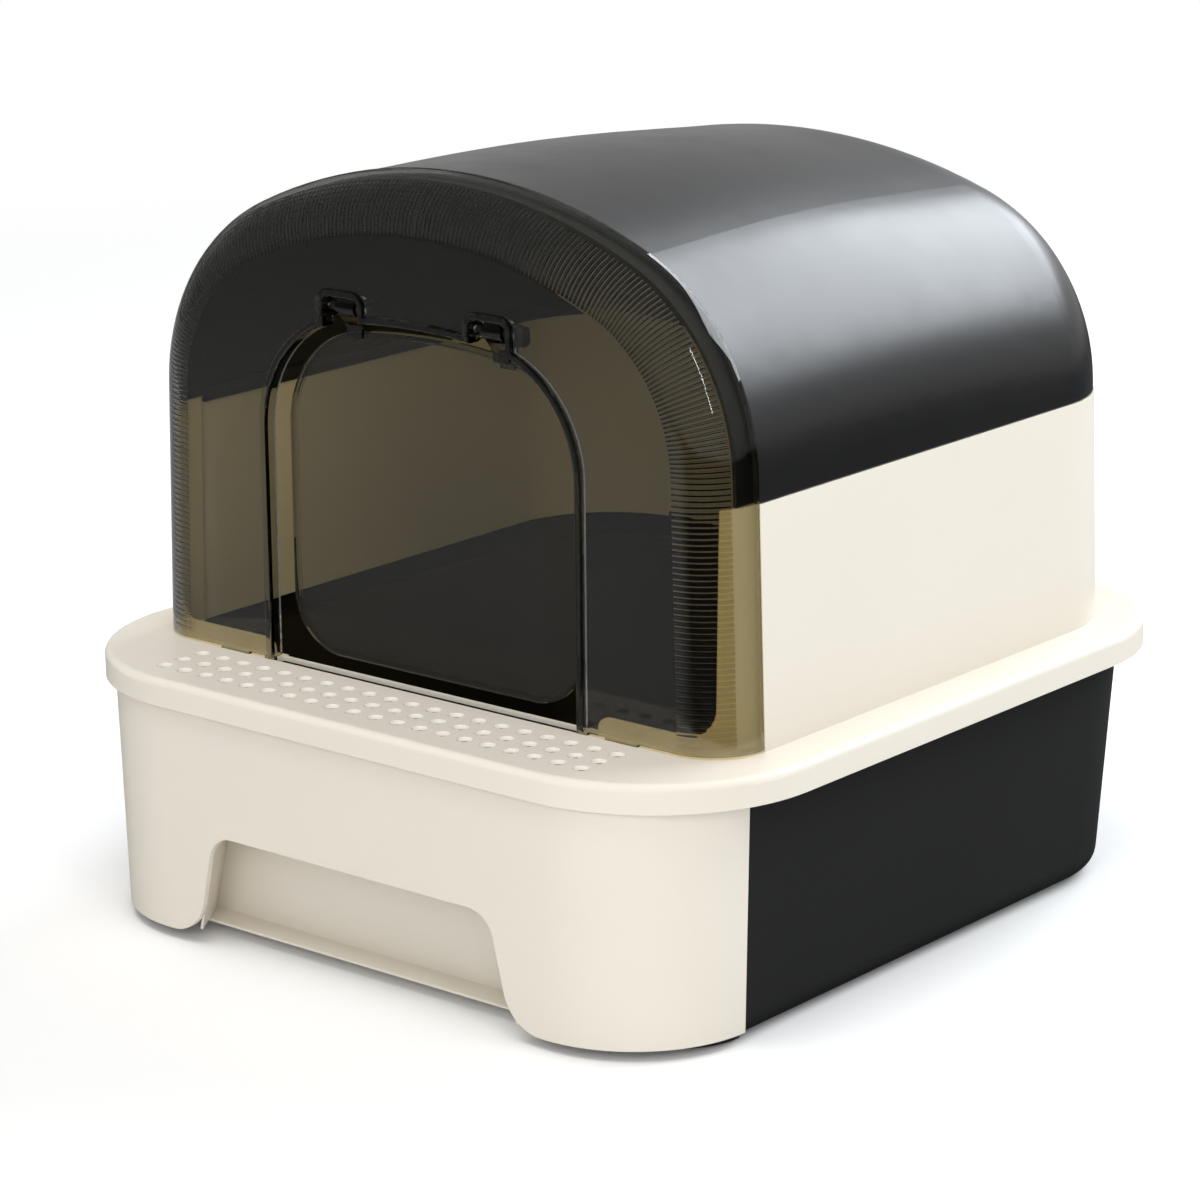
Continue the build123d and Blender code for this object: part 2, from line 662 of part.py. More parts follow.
shelf_front = body_front + flange_inset + pan_flange_front
pan_floor = pan_bottom + pan_wall

with BuildPart() as pan_cavity:
    loft([
        pan_outline(pan_floor, pan_wall, shelf_front + pan_wall),
        pan_outline(drawer_top + overrun, pan_wall, shelf_front + pan_wall),
    ])
    with Locations((0, pan_front + pan_wall - beyond / 2, trough_floor - beyond / 2)):
        Box(beyond, beyond, beyond, mode=Mode.SUBTRACT)
    fillet(pan_cavity.faces().sort_by(Axis.Z)[0].edges(), pan_round - pan_wall)

with BuildPart() as litter_pan:
    loft([pan_outline(pan_bottom, 0, shelf_front), pan_outline(drawer_top, 0, shelf_front)])
    with Locations((0, pan_front - beyond / 2, trough_floor - pan_wall - beyond / 2)):
        Box(beyond, beyond, beyond, mode=Mode.SUBTRACT)
    fillet(litter_pan.faces().sort_by(Axis.Z)[0].edges(), pan_round)
    extrude(body_outline(flange_bottom, flange_inset), amount=pan_wall)
    add(pan_cavity.part, mode=Mode.SUBTRACT)
    with BuildSketch(Plane.XY.offset(flange_bottom)):
        with Locations(*[(x, shelf_front - pan_flange_front / 2) for x in peg_xs]):
            Circle(peg_radius + fit_gap)
    extrude(amount=pan_wall, mode=Mode.SUBTRACT)
export(litter_pan, "litter_pan")


# ---- drawer fascia: cream front of the drawer with the hand cut-out ----------------------------------------
def hand_outline(y, grow=0.0, spread=0.0, foot=fascia_bottom):
    # the cut-out's outline above foot; spread widens it towards the back of the pocket
    slope = (cut_foot_half + cut_splay - cut_top_half) / (cut_top - fascia_bottom)
    half_top = cut_top_half + spread - slope * grow
    half_foot = half_top + slope * (cut_top + grow - foot)
    with BuildSketch(front_plane(y)) as hand:
        with BuildLine():
            Polyline(
                (-half_top - grow, cut_top + grow), (half_top + grow, cut_top + grow),
                (half_foot + grow, foot), (-half_foot - grow, foot),
                close=True,
            )
        make_face()
        fillet(hand.vertices().group_by(Axis.Y)[-1], cut_corner + grow)
    return hand.sketch


ledge_top = flange_bottom - fit_gap
fascia_rear = body_seam - part_gap

with BuildPart() as drawer_fascia:
    loft([body_outline(fascia_bottom), body_outline(drawer_top)])
    loft([
        body_outline(fascia_bottom - nudge, tub_wall), body_outline(drawer_top + nudge, tub_wall)
    ], mode=Mode.SUBTRACT)
    with BuildPart(mode=Mode.PRIVATE) as ledge:
        extrude(body_outline(ledge_top, tub_wall - part_gap), amount=-ledge_thick)
        extrude(body_outline(ledge_top, flange_inset + pan_flange - ledge_gap, shelf_front - ledge_gap),
                amount=-ledge_thick, mode=Mode.SUBTRACT)
        with Locations((0, body_front + body_front_corner + beyond / 2, 0)):
            Box(beyond, beyond, beyond, mode=Mode.SUBTRACT)
    add(ledge.part)
    with Locations((0, fascia_rear + beyond / 2, 0)):
        Box(beyond, beyond, beyond, mode=Mode.SUBTRACT)
    # hand cut-out with its flared feet
    with BuildSketch(front_plane(fascia_inside + overrun)):
        add(hand_outline(0).rotate(Axis.X, -90))
        with Locations((0, fascia_bottom - cut_flare / 2)):
            Rectangle(2 * (cut_foot_half + 2 * cut_flare), cut_flare)
        fillet(vertices().filter_by(lambda v: abs(v.Y - fascia_bottom) < nudge and
                                    abs(v.X) < cut_foot_half + cut_flare), cut_flare)
    extrude(amount=fascia_depth / 2, mode=Mode.SUBTRACT)
    # bosses for the pocket's screws and pegs for the pan's flange
    with BuildSketch(front_plane(fascia_inside + boss_length)):
        with Locations(*[(x, screw_z) for x in screw_xs]):
            Circle(boss_radius)
    extrude(amount=boss_length + nudge)
    with BuildSketch(front_plane(fascia_inside + boss_length)):
        with Locations(*[(x, screw_z) for x in screw_xs]):
            Circle(screw_radius + fit_gap)
    extrude(amount=boss_length + nudge, mode=Mode.SUBTRACT)
    with BuildSketch(Plane.XY.offset(ledge_top)):
        with Locations(*[(x, shelf_front - pan_flange_front / 2) for x in peg_xs]):
            Circle(peg_radius)
    extrude(amount=pan_wall)
export(drawer_fascia, "drawer_fascia")

# ---- handle pocket: hollow behind the hand cut-out ---------------------------------------------------------
pocket_front = fascia_inside + pocket_gap
pocket_panel = body_front + pocket_depth
pocket_rim_front = fascia_inside + boss_length + fit_gap
pocket_foot = pocket_floor - pocket_floor_wall

with BuildPart() as handle_pocket:
    loft([
        hand_outline(pocket_front, pocket_wall, pocket_ease, pocket_foot),
        hand_outline(pocket_panel + pocket_wall, pocket_wall, pocket_flare, pocket_foot),
    ])
    extrude(hand_outline(pocket_rim_front + pocket_wall, pocket_wall + pocket_rim, pocket_ease, pocket_rim_foot),
            amount=pocket_wall)
    loft([
        hand_outline(pocket_front, 0, pocket_ease, pocket_floor),
        hand_outline(pocket_panel, 0, pocket_flare, pocket_floor),
    ], mode=Mode.SUBTRACT)
    with Locations((0, pocket_panel - pocket_lip - beyond / 2, pocket_floor - beyond / 2)):
        Box(beyond, beyond, beyond, mode=Mode.SUBTRACT)
    with BuildSketch(front_plane(pocket_rim_front + pocket_wall)):
        with Locations(*[(x, screw_z) for x in screw_xs]):
            Circle(screw_radius + fit_gap)
    extrude(amount=pocket_wall, mode=Mode.SUBTRACT)
export(handle_pocket, "handle_pocket")

# ---- pocket screws: four short screws driven from behind into the fascia's bosses ----------------------------
with BuildPart() as pocket_screws:
    for x in screw_xs:
        with BuildSketch(front_plane(pocket_rim_front + pocket_wall + fit_gap)):
            with Locations((x, screw_z)):
                Circle(screw_radius)
        extrude(amount=screw_length)
        with BuildSketch(front_plane(pocket_rim_front + pocket_wall + fit_gap)):
            with Locations((x, screw_z)):
                Circle(screw_head_radius)
        extrude(amount=-screw_head)
export(pocket_screws, "pocket_screws")
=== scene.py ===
import json
import math

import bpy
from mathutils import Matrix, Vector


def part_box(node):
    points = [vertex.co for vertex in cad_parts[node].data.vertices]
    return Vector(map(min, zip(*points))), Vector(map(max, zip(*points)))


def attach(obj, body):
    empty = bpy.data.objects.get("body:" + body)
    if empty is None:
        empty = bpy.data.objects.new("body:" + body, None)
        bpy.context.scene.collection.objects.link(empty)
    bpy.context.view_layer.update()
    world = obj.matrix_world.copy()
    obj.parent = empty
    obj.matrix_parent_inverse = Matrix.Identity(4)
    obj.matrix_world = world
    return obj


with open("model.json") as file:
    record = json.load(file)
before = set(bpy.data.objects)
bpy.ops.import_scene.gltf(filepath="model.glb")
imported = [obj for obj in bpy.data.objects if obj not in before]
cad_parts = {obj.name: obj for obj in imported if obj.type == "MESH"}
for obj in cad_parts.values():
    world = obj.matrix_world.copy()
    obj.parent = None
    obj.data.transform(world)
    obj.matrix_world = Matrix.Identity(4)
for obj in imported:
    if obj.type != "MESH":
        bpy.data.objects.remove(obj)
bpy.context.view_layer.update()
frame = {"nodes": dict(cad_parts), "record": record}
nodes = frame["nodes"]
print("frame loaded:", len(nodes), "nodes")


# ---- tools for materials
def hexColour(text):
    # sRGB hex to the linear values that the shaders want
    values = []
    for i in (0, 2, 4):
        v = int(text[i:i + 2], 16) / 255
        values.append(v / 12.92 if v <= 0.04045 else ((v + 0.055) / 1.055) ** 2.4)
    return (*values, 1.0)


plainWhite = (1, 1, 1, 1)


def addNode(tree, kind, settings=None, **links):
    # settings are the node's properties or sockets, links join its inputs to other nodes' outputs;
    # a socket without a name of its own goes by its number, which is written i0, i1, ... in links
    node = tree.nodes.new(kind)
    for name, value in (settings or {}).items():
        if isinstance(name, int) or name in node.inputs:
            node.inputs[name].default_value = value
        else:
            setattr(node, name, value)
    for name, source in links.items():
        target = node.inputs[int(name[1:])] if name[0] == "i" and name[1:].isdigit() else node.inputs[name]
        tree.links.new(source, target)
    return node


def mixColours(tree, factor, first, second):
    # this node's two colours are its sockets 6 and 7, and the mixed one is its output 2
    colours = {"data_type": "RGBA", 6: hexColour(first), 7: hexColour(second)}
    return addNode(tree, "ShaderNodeMix", colours, Factor=factor)


def newMaterial(name):
    material = bpy.data.materials.new(name)
    material.use_nodes = True
    tree = material.node_tree
    tree.nodes.clear()
    output = addNode(tree, "ShaderNodeOutputMaterial")
    return material, tree, output


# ---- materials
# what all moulded plastics share: metres over which the tone drifts and the polish varies,
# and how far the roughness falls and rises
mouldValues = {"ior": 1.49, "driftWidth": 0.12, "wearWidth": 0.03, "smoother": 0.04, "rougher": 0.05}


def mouldedPlastic(name, values):
    material, tree, output = newMaterial(name)
    where = addNode(tree, "ShaderNodeTexCoord").outputs["Object"]
    # slow drift of tone over a hand's width, as thick mouldings have
    drift = addNode(tree, "ShaderNodeTexNoise", {"Scale": 1 / mouldValues["driftWidth"], "Detail": 2.0},
                    Vector=where)
    tone = mixColours(tree, drift.outputs["Fac"], values["colour"], values["shade"])
    grain = addNode(tree, "ShaderNodeTexNoise", {"Scale": 1000 / values["grainMm"], "Detail": 3.0},
                    Vector=where)
    # small rounding that every moulded edge has
    edge = addNode(tree, "ShaderNodeBevel", {"Radius": values["edgeMm"] / 1000})
    bump = addNode(tree, "ShaderNodeBump", {"Strength": 1.0, "Distance": values["grainDepthMm"] / 1000},
                   Height=grain.outputs["Fac"], Normal=edge.outputs["Normal"])
    wear = addNode(tree, "ShaderNodeTexNoise", {"Scale": 1 / mouldValues["wearWidth"], "Detail": 4.0},
                   Vector=where)
    rough = addNode(tree, "ShaderNodeMapRange",
                    {"To Min": values["roughness"] - mouldValues["smoother"],
                     "To Max": values["roughness"] + mouldValues["rougher"]},
                    Value=wear.outputs["Fac"])
    shader = addNode(tree, "ShaderNodeBsdfPrincipled",
                     {"IOR": mouldValues["ior"], "Specular IOR Level": values["specular"]})
    # only the walls of the treadle's holes glow, a painted light that brightens them
    if "glow" in values:
        shader.inputs["Emission Color"].default_value = hexColour(values["colour"])
        shader.inputs["Emission Strength"].default_value = values["glow"]
    tree.links.new(tone.outputs[2], shader.inputs["Base Color"])
    tree.links.new(rough.outputs[0], shader.inputs["Roughness"])
    tree.links.new(bump.outputs[0], shader.inputs["Normal"])
    tree.links.new(shader.outputs[0], output.inputs[0])
    return material


# polypropylene, warm off-white: satin, with the fine orange-peel of a spark-eroded mould
creamValues = {"colour": "E7E0D4", "shade": "E3DCCF", "roughness": 0.42, "specular": 0.4,
               "grainMm": 0.9, "grainDepthMm": 0.012, "edgeMm": 0.7}
creamPlastic = mouldedPlastic("polypropyleneCream", creamValues)

# walls of the treadle's holes: a lighter colour and a glow, painted light that makes them look brightly lit
holeWallPaintedLightValues = {**creamValues, "colour": "FBF6EC", "shade": "F6F0E5", "glow": 0.22}
holeWallPaintedLight = mouldedPlastic("polypropyleneHoleWallPaintedLight", holeWallPaintedLightValues)

# the tub: the same plastic in black with a coarse, matte texture
blackValues = {"colour": "232323", "shade": "202020", "roughness": 0.55, "specular": 0.25,
               "grainMm": 0.8, "grainDepthMm": 0.02, "edgeMm": 0.7}
blackPlastic = mouldedPlastic("polypropyleneBlack", blackValues)

# the pan's smoother black
panValues = {"colour": "32302C", "shade": "2D2B28", "roughness": 0.45, "specular": 0.3,
             "grainMm": 1.2, "grainDepthMm": 0.01, "edgeMm": 0.7}
panPlastic = mouldedPlastic("polypropylenePan", panValues)

# the roof: black ABS with a satin polish, soft broad highlights
roofValues = {"colour": "101011", "shade": "0E0E0F", "roughness": 0.3, "specular": 0.6,
              "grainMm": 0.7, "grainDepthMm": 0.008, "edgeMm": 0.7}
roofPlastic = mouldedPlastic("absRoofSatin", roofValues)

# its inside: coarser and rougher from the mould; its lighter grey is painted light that brightens the dim
# inside
roofInsideGrainAndPaintedLightValues = {"colour": "2C2C2C", "shade": "282828", "roughness": 0.6, "specular": 0.5,
                    "grainMm": 1.0, "grainDepthMm": 0.02, "edgeMm": 0.7}
roofInsideGrainAndPaintedLight = mouldedPlastic("absRoofInsideGrainAndPaintedLight", roofInsideGrainAndPaintedLightValues)

# hinge pins and their rings: acetal, black and slightly waxy
acetalValues = {"colour": "1C1C1D", "shade": "19191A", "roughness": 0.22, "specular": 0.6,
                "grainMm": 0.5, "grainDepthMm": 0.004, "edgeMm": 0.4}
acetalPlastic = mouldedPlastic("acetalBlack", acetalValues)

# pads: black thermoplastic elastomer
padValues = {"colour": "202020", "shade": "1C1C1C", "roughness": 0.7, "specular": 0.3,
             "grainMm": 0.6, "grainDepthMm": 0.02, "edgeMm": 0.4}
padPlastic = mouldedPlastic("elastomerPad", padValues)

# screws: zinc-plated steel, its crystals a little brighter and duller by turns
screwValues = {"colour": "9A9A98", "crystalMm": 0.8, "smoothest": 0.28, "roughest": 0.45}


def zincSteel():
    material, tree, output = newMaterial("zincPlatedSteel")
    where = addNode(tree, "ShaderNodeTexCoord").outputs["Object"]
    crystals = addNode(tree, "ShaderNodeTexNoise", {"Scale": 1000 / screwValues["crystalMm"], "Detail": 2.0},
                       Vector=where)
    rough = addNode(tree, "ShaderNodeMapRange",
                    {"To Min": screwValues["smoothest"], "To Max": screwValues["roughest"]},
                    Value=crystals.outputs["Fac"])
    shader = addNode(tree, "ShaderNodeBsdfPrincipled",
                     {"Base Color": hexColour(screwValues["colour"]), "Metallic": 1.0},
                     Roughness=rough.outputs[0])
    tree.links.new(shader.outputs[0], output.inputs[0])
    return material


screwSteel = zincSteel()

# smoke-tinted styrene acrylonitrile: clear, glossy, brown-grey through its thickness;
# the flap hardly mirrors and has a faint haze, so that the inside reads through it
smokeValues = {
    "through": "A6A9A4", "densityPerM": 380.0, "strapDensityFactor": 4, "entering": "EAE2C8",
    "roughness": 0.0, "coverIor": 1.45, "flapIor": 1.15, "flapHaze": 0.014,
    "waveMm": 60.0, "waveDepthMm": 0.03,
}


def smokePlastic(name, density, ior, haze=0.0):
    v = smokeValues
    material, tree, output = newMaterial(name)
    where = addNode(tree, "ShaderNodeTexCoord").outputs["Object"]
    # faint flow waves of the moulding
    wave = addNode(tree, "ShaderNodeTexNoise", {"Scale": 1000 / v["waveMm"], "Detail": 1.0}, Vector=where)
    bump = addNode(tree, "ShaderNodeBump", {"Strength": 1.0, "Distance": v["waveDepthMm"] / 1000},
                   Height=wave.outputs["Fac"])
    shader = addNode(tree, "ShaderNodeBsdfPrincipled",
                     {"Base Color": plainWhite, "Roughness": v["roughness"], "IOR": ior,
                      "Transmission Weight": 1.0},
                     Normal=bump.outputs[0])
    # haze of a wiped surface
    film = addNode(tree, "ShaderNodeBsdfDiffuse", {"Color": plainWhite})
    hazy = addNode(tree, "ShaderNodeMixShader", {0: haze}, i1=shader.outputs[0], i2=film.outputs[0])
    # light on its way to the inside goes straight through and is only tinted a little
    path = addNode(tree, "ShaderNodeLightPath")
    passing = addNode(tree, "ShaderNodeMath", {"operation": "MAXIMUM"},
                      i0=path.outputs["Is Shadow Ray"], i1=path.outputs["Is Diffuse Ray"])
    straight = addNode(tree, "ShaderNodeBsdfTransparent", {"Color": hexColour(v["entering"])})
    surface = addNode(tree, "ShaderNodeMixShader", None,
                      i0=passing.outputs[0], i1=hazy.outputs[0], i2=straight.outputs[0])
    tint = addNode(tree, "ShaderNodeVolumeAbsorption", {"Color": hexColour(v["through"]), "Density": density})
    inside = addNode(tree, "ShaderNodeMixShader", None, i0=passing.outputs[0], i1=tint.outputs[0])
    tree.links.new(surface.outputs[0], output.inputs["Surface"])
    tree.links.new(inside.outputs[0], output.inputs["Volume"])
    return material


smokeDensity = smokeValues["densityPerM"]
strapDensity = smokeValues["strapDensityFactor"] * smokeDensity
coverStyrene = smokePlastic("sanSmokeCover", smokeDensity, smokeValues["coverIor"])
flapStyrene = smokePlastic("sanSmokeFlap", smokeDensity, smokeValues["flapIor"], smokeValues["flapHaze"])
strapStyrene = smokePlastic("sanSmokeStrap", strapDensity, smokeValues["coverIor"])
print("materials ready:", len(bpy.data.materials))


# ---- finishes of the nodes
finishes = {
    "base_tub": blackPlastic, "foot_pads": padPlastic, "litter_pan": panPlastic,
    "drawer_fascia": creamPlastic, "handle_pocket": creamPlastic, "pocket_screws": screwSteel,
    "middle_housing": creamPlastic, "roof_cover": roofPlastic, "front_cover": coverStyrene,
    "door_flap": flapStyrene, "hinge_strap_left": strapStyrene, "hinge_strap_right": strapStyrene,
    "hinge_pin_left": acetalPlastic, "hinge_pin_right": acetalPlastic, "pin_retainers": acetalPlastic,
}
for name, material in finishes.items():
    nodes[name].data.materials.clear()
    nodes[name].data.materials.append(material)


def finishFaces(name, material, belongs):
    # faces of the node that belong take a second material
    mesh = nodes[name].data
    mesh.materials.append(material)
    chosen = [face for face in mesh.polygons if belongs(face)]
    for face in chosen:
        face.material_index = 1
    print("second material on", name + ":", len(chosen), "faces")


roofFaceValues = {"facingFront": 0.9}
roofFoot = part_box("roof_cover")[0][2]


def onRoofInside(face):
    # faces that look towards the roof's middle line or straight to the front, which take the inside's painted
    # lighter grey
    fromMiddle = Vector((face.center[0], 0, face.center[2] - roofFoot))
    return face.normal.dot(fromMiddle) < 0 or -face.normal[1] > roofFaceValues["facingFront"]


# the treadle lies behind the rim's front edge, before the cover and above the cover's lowest point
treadleFaceValues = {"behindRim": 0.012, "beforeCover": 0.004, "halfWidth": 0.155,
                     "aboveCoverFoot": 0.001, "uprightWithin": 0.3}
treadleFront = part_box("middle_housing")[0][1] + treadleFaceValues["behindRim"]
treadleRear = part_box("front_cover")[0][1] - treadleFaceValues["beforeCover"]
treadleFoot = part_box("front_cover")[0][2] + treadleFaceValues["aboveCoverFoot"]


def onHoleWall(face):
    # upright faces inside the treadle, which take the painted light of the hole walls
    x, y, z = face.center
    inTreadle = treadleFront < y < treadleRear and z > treadleFoot and abs(x) < treadleFaceValues["halfWidth"]
    return inTreadle and abs(face.normal[2]) < treadleFaceValues["uprightWithin"]


# the roof's inside takes its coarser finish and its painted lighter grey
finishFaces("roof_cover", roofInsideGrainAndPaintedLight, onRoofInside)
# the walls of the treadle's holes take their painted light
finishFaces("middle_housing", holeWallPaintedLight, onHoleWall)


# ---- flutes: fine ribs across the inside of the cover's rounded edge
# sink is how deep a flute's edges lie in the wall, and the last six repeat the sizes of the cover itself
fluteValues = {
    "pitch": 0.003, "width": 0.0022, "height": 0.00025, "sink": 0.00004, "fromFoot": 0.004,
    "reachDegrees": 62, "steps": 9, "arcSteps": 5, "smoothDegrees": 50,
    "beadProud": 0.0012, "edgeRound": 0.031, "wall": 0.0025,
    "shoulderRadius": 0.118, "crownRadius": 0.314, "draft": 1.6,
}


def archStation(distance, halfFoot, foot, top):
    # place and outward direction on the right half of the arch, at a distance along it from the foot
    v = fluteValues
    draft = math.radians(v["draft"])
    reach = v["crownRadius"] - v["shoulderRadius"]
    crownCentre = top - v["crownRadius"]
    # the shoulder's centre lies at this reach from the crown's, and its circle touches the leaning side
    lean = halfFoot + (foot - crownCentre) * math.tan(draft) - v["shoulderRadius"] / math.cos(draft)
    # angle of the shoulder's centre from the vertical
    across = math.asin(lean * math.cos(draft) / reach) - draft
    centre = (reach * math.sin(across), crownCentre + reach * math.cos(across))
    side = (centre[1] + v["shoulderRadius"] * math.sin(draft) - foot) / math.cos(draft)
    shoulder = v["shoulderRadius"] * (math.pi / 2 - across - draft)
    if distance < side:
        return (halfFoot - distance * math.sin(draft), foot + distance * math.cos(draft)), draft
    if distance < side + shoulder:
        angle = draft + (distance - side) / v["shoulderRadius"]
        return (centre[0] + v["shoulderRadius"] * math.cos(angle),
                centre[1] + v["shoulderRadius"] * math.sin(angle)), angle
    angle = math.pi / 2 - across + (distance - side - shoulder) / v["crownRadius"]
    return (v["crownRadius"] * math.cos(angle), crownCentre + v["crownRadius"] * math.sin(angle)), angle


def flutePoints(x, z, angle, front, mirror):
    # rows of points that cross the flute, from the front wall round the edge towards the side
    v = fluteValues
    innerRound = v["edgeRound"] - v["wall"]
    points = []
    for i in range(v["steps"] + 1):
        turn = math.radians(v["reachDegrees"]) * i / v["steps"]
        for j in range(v["arcSteps"]):
            over = math.pi * j / (v["arcSteps"] - 1)
            lift = v["height"] * math.sin(over) - v["sink"]
            shift = v["width"] / 2 * math.cos(over)
            inset = v["wall"] + innerRound - (innerRound - lift) * math.sin(turn)
            y = front + v["edgeRound"] - (innerRound - lift) * math.cos(turn)
            px = x - inset * math.cos(angle) - shift * math.sin(angle)
            pz = z - inset * math.sin(angle) + shift * math.cos(angle)
            points.append((mirror * px, y, pz))
    return points


def fluteFaces(start, mirror):
    # the skin between neighbouring rows, and a cap on each end
    steps = fluteValues["steps"]
    n = fluteValues["arcSteps"]
    faces = []
    for i in range(steps):
        for j in range(n):
            a = start + i * n + j
            b = start + i * n + (j + 1) % n
            faces.append((a, b, b + n, a + n))
    faces.append(tuple(range(start, start + n))[::-1])
    faces.append(tuple(range(start + steps * n, start + (steps + 1) * n)))
    return faces if mirror > 0 else [face[::-1] for face in faces]


def buildFlutes():
    v = fluteValues
    low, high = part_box("front_cover")
    # the flutes start at the lower edge of the doorway, which is the record's first opening
    foot = frame["record"]["physics"]["openings"][0]["box_m"][0][2]
    front = low[1] + v["beadProud"]
    top = high[2]
    halfFoot = high[0]
    verts = []
    faces = []
    distance = v["fromFoot"]
    (x, z), angle = archStation(distance, halfFoot, foot, top)
    while x >= 0:
        for mirror in (-1, 1):
            faces += fluteFaces(len(verts), mirror)
            verts += flutePoints(x, z, angle, front, mirror)
        distance += v["pitch"]
        (x, z), angle = archStation(distance, halfFoot, foot, top)
    mesh = bpy.data.meshes.new("coverFlutes")
    mesh.from_pydata(verts, [], faces)
    mesh.validate()
    flutes = bpy.data.objects.new("coverFlutes", mesh)
    bpy.context.scene.collection.objects.link(flutes)
    bpy.ops.object.select_all(action="DESELECT")
    flutes.select_set(True)
    bpy.context.view_layer.objects.active = flutes
    bpy.ops.object.mode_set(mode="EDIT")
    bpy.ops.mesh.select_all(action="SELECT")
    bpy.ops.mesh.normals_make_consistent(inside=False)
    bpy.ops.object.mode_set(mode="OBJECT")
    bpy.ops.object.shade_smooth_by_angle(angle=math.radians(v["smoothDegrees"]))
    flutes.data.materials.append(coverStyrene)
    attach(flutes, "cover")
    print("flutes:", len(faces), "faces")


buildFlutes()


# ---- studio: floor, world, lights and camera
# inGloss is what satin surfaces mirror and inGlass what clear ones mirror; the floor that clear surfaces
# mirror is painted darker to the right, a painted dark reflection across the two x values given
studio = {
    "floorSize": 9.0, "floorColour": "F4F4F3", "floorLift": 0.05, "fadeFrom": 1.1, "fadeTo": 2.4,
    "floorInGloss": "4A4A4A", "floorInGlass": "A4A4A4", "floorInGlassRight": "262626",
    "mirrorDarkFrom": -0.15, "mirrorDarkTo": 0.2,
    "worldLight": 0.45, "worldInGloss": 0.57, "worldInGlass": 0.07,
}


def buildFloor():
    bpy.ops.object.select_all(action="DESELECT")
    bpy.ops.mesh.primitive_plane_add(size=studio["floorSize"], location=(0, 0, 0))
    floor = bpy.context.object
    floor.name = "studioFloor"
    material, tree, output = newMaterial("paperFloor")
    where = addNode(tree, "ShaderNodeTexCoord").outputs["Object"]
    path = addNode(tree, "ShaderNodeLightPath")
    paper = addNode(tree, "ShaderNodeBsdfDiffuse", {"Color": hexColour(studio["floorColour"])})
    # reflections see a greyer paper, and clear surfaces mirror one painted darker to the right, a painted
    # dark reflection
    across = addNode(tree, "ShaderNodeSeparateXYZ", None, Vector=where)
    mirrorDark = addNode(tree, "ShaderNodeMapRange",
                   {"From Min": studio["mirrorDarkFrom"], "From Max": studio["mirrorDarkTo"]}, Value=across.outputs["X"])
    mirrorDarkTone = mixColours(tree, mirrorDark.outputs[0], studio["floorInGlass"], studio["floorInGlassRight"])
    greyTone = addNode(tree, "ShaderNodeMix", {"data_type": "RGBA", 6: hexColour(studio["floorInGloss"])},
                       Factor=path.outputs["Is Singular Ray"], i7=mirrorDarkTone.outputs[2])
    grey = addNode(tree, "ShaderNodeBsdfDiffuse", None, Color=greyTone.outputs[2])
    mirrored = addNode(tree, "ShaderNodeMixShader", None,
                       i0=path.outputs["Is Glossy Ray"], i1=paper.outputs[0], i2=grey.outputs[0])
    # the camera sees the paper slightly lifted, and fading out to the white world far away
    lift = addNode(tree, "ShaderNodeMath", {"operation": "MULTIPLY", 1: studio["floorLift"]},
                   i0=path.outputs["Is Camera Ray"])
    glow = addNode(tree, "ShaderNodeEmission", {"Color": plainWhite}, Strength=lift.outputs[0])
    lifted = addNode(tree, "ShaderNodeAddShader", None, i0=mirrored.outputs[0], i1=glow.outputs[0])
    reach = addNode(tree, "ShaderNodeVectorMath", {"operation": "LENGTH"}, i0=where)
    fade = addNode(tree, "ShaderNodeMapRange",
                   {"From Min": studio["fadeFrom"], "From Max": studio["fadeTo"],
                    "interpolation_type": "SMOOTHSTEP"},
                   Value=reach.outputs["Value"])
    faded = addNode(tree, "ShaderNodeMath", {"operation": "MULTIPLY"},
                    i0=fade.outputs[0], i1=path.outputs["Is Camera Ray"])
    clear = addNode(tree, "ShaderNodeBsdfTransparent")
    mix = addNode(tree, "ShaderNodeMixShader", None,
                  i0=faded.outputs[0], i1=lifted.outputs[0], i2=clear.outputs[0])
    tree.links.new(mix.outputs[0], output.inputs[0])
    floor.data.materials.append(material)


def buildWorld():
    world = bpy.data.worlds.new("studioWorld")
    bpy.context.scene.world = world
    world.use_nodes = True
    tree = world.node_tree
    tree.nodes.clear()
    output = addNode(tree, "ShaderNodeOutputWorld")
    path = addNode(tree, "ShaderNodeLightPath")
    seen = addNode(tree, "ShaderNodeMath", {"operation": "MAXIMUM"},
                   i0=path.outputs["Is Camera Ray"], i1=path.outputs["Is Transmission Ray"])
    # satin surfaces mirror a grey room, clear glossy ones a dark room with lamps
    room = addNode(tree, "ShaderNodeMapRange",
                   {"To Min": studio["worldInGloss"], "To Max": studio["worldInGlass"]},
                   Value=path.outputs["Is Singular Ray"])
    level = addNode(tree, "ShaderNodeMapRange", {"To Min": studio["worldLight"]},
                    Value=path.outputs["Is Glossy Ray"], i4=room.outputs[0])
    dim = addNode(tree, "ShaderNodeBackground", {"Color": plainWhite}, Strength=level.outputs[0])
    bright = addNode(tree, "ShaderNodeBackground", {"Color": plainWhite, "Strength": 1.0})
    mix = addNode(tree, "ShaderNodeMixShader", None,
                  i0=seen.outputs[0], i1=dim.outputs[0], i2=bright.outputs[0])
    tree.links.new(mix.outputs[0], output.inputs[0])


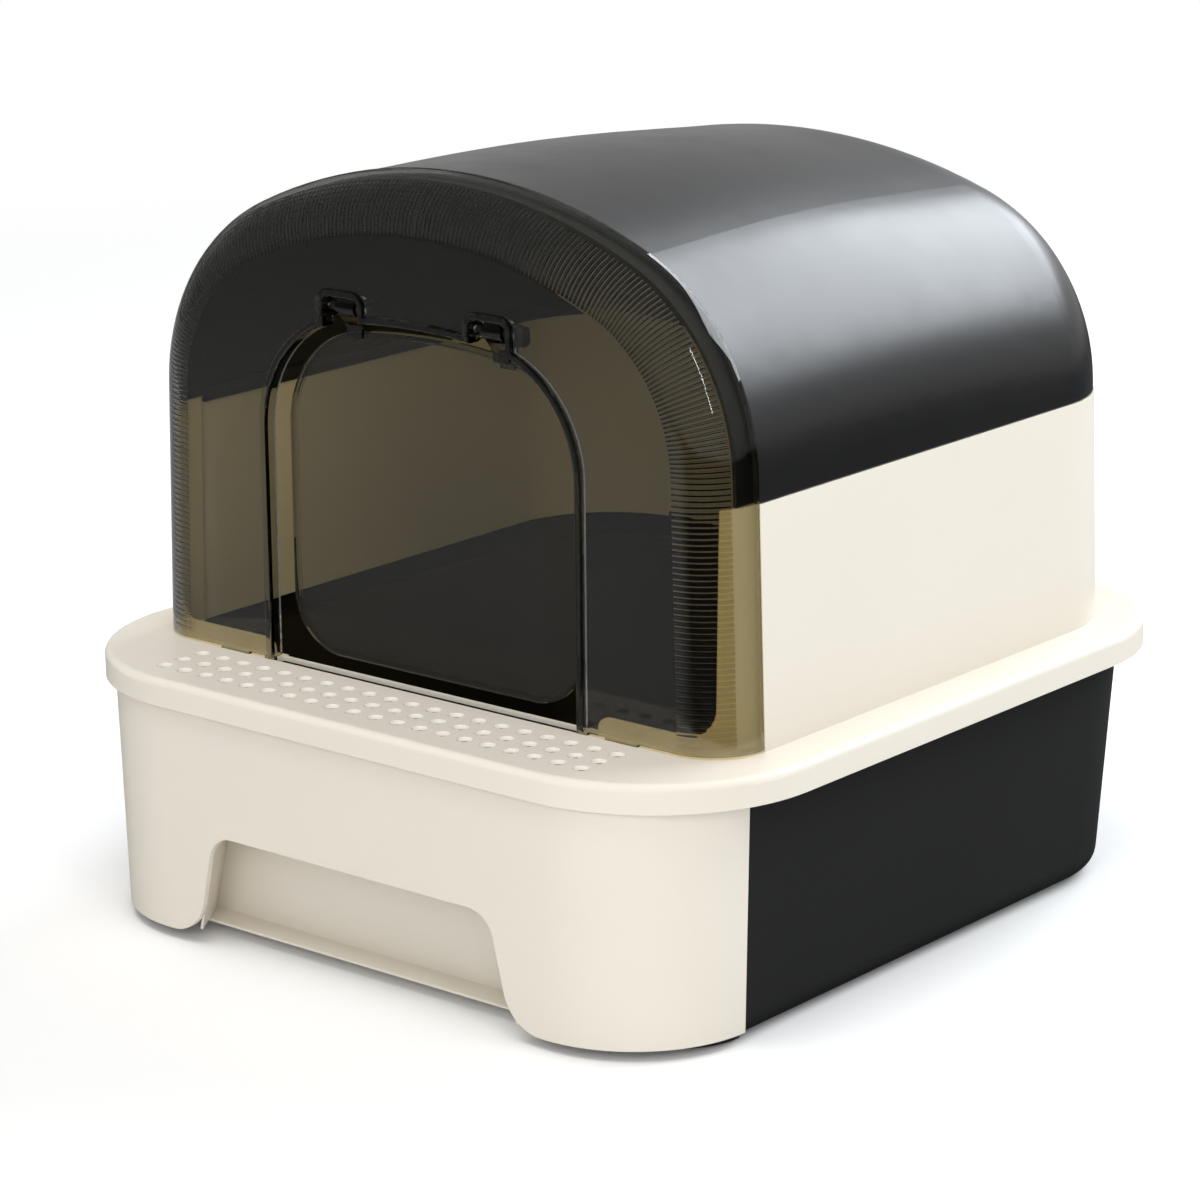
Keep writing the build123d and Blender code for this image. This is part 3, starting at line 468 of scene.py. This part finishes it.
softboxes = {
    "softboxBack": {"place": (0.55, 2.0, 1.6), "target": (0, 0, 0.3), "size": (2.2, 1.4), "power": 68,
                    "colour": (0.89, 0.945, 1.0), "inReflections": True},
    "softboxFront": {"place": (1.15, -2.0, 1.1), "target": (0, -0.1, 0.25), "size": (1.4, 1.0),
                     "power": 14.5, "colour": (1.0, 1.0, 1.0), "inReflections": False},
    "softboxTop": {"place": (0.0, -0.75, 2.5), "target": (0, -0.1, 0.2), "size": (1.8, 1.4),
                   "power": 31, "colour": (1.0, 1.0, 1.0), "inReflections": False},
    "stripRight": {"place": (1.87, -0.98, 1.5), "target": (0.2, -0.17, 0.35), "size": (0.06, 1.2),
                   "power": 4, "colour": (1.0, 1.0, 1.0), "inReflections": True},
}


def addSoftbox(name, values):
    light = bpy.data.lights.new(name, "AREA")
    light.shape = "RECTANGLE"
    light.size, light.size_y = values["size"]
    light.energy = values["power"]
    light.color = values["colour"]
    lamp = bpy.data.objects.new(name, light)
    lamp.visible_glossy = values["inReflections"]
    # no lamp shows as a patch behind the smoke plastic
    lamp.visible_transmission = False
    bpy.context.scene.collection.objects.link(lamp)
    lamp.location = values["place"]
    towards = Vector(values["target"]) - Vector(values["place"])
    lamp.rotation_euler = towards.to_track_quat("-Z", "Y").to_euler()


cameraValues = {"place": (1.419, -1.732, 0.789), "back": (0.6158, -0.7405, 0.2691), "rollDegrees": -0.5,
                "lens": 124.69, "sensorWidth": 36, "farthest": 50}


def buildCamera():
    back = Vector(cameraValues["back"]).normalized()
    right = Vector((0, 0, 1)).cross(back).normalized()
    up = back.cross(right)
    roll = math.radians(cameraValues["rollDegrees"])
    turnedRight = right * math.cos(roll) + up * math.sin(roll)
    turnedUp = up * math.cos(roll) - right * math.sin(roll)
    data = bpy.data.cameras.new("studioCamera")
    data.lens = cameraValues["lens"]
    data.sensor_width = cameraValues["sensorWidth"]
    data.clip_end = cameraValues["farthest"]
    camera = bpy.data.objects.new("studioCamera", data)
    bpy.context.scene.collection.objects.link(camera)
    turn = Matrix((turnedRight, turnedUp, back)).transposed().to_4x4()
    camera.matrix_world = Matrix.Translation(cameraValues["place"]) @ turn
    bpy.context.scene.camera = camera


buildFloor()
buildWorld()
for name, values in softboxes.items():
    addSoftbox(name, values)
buildCamera()
bpy.context.scene.view_settings.view_transform = "Standard"
print("studio ready")
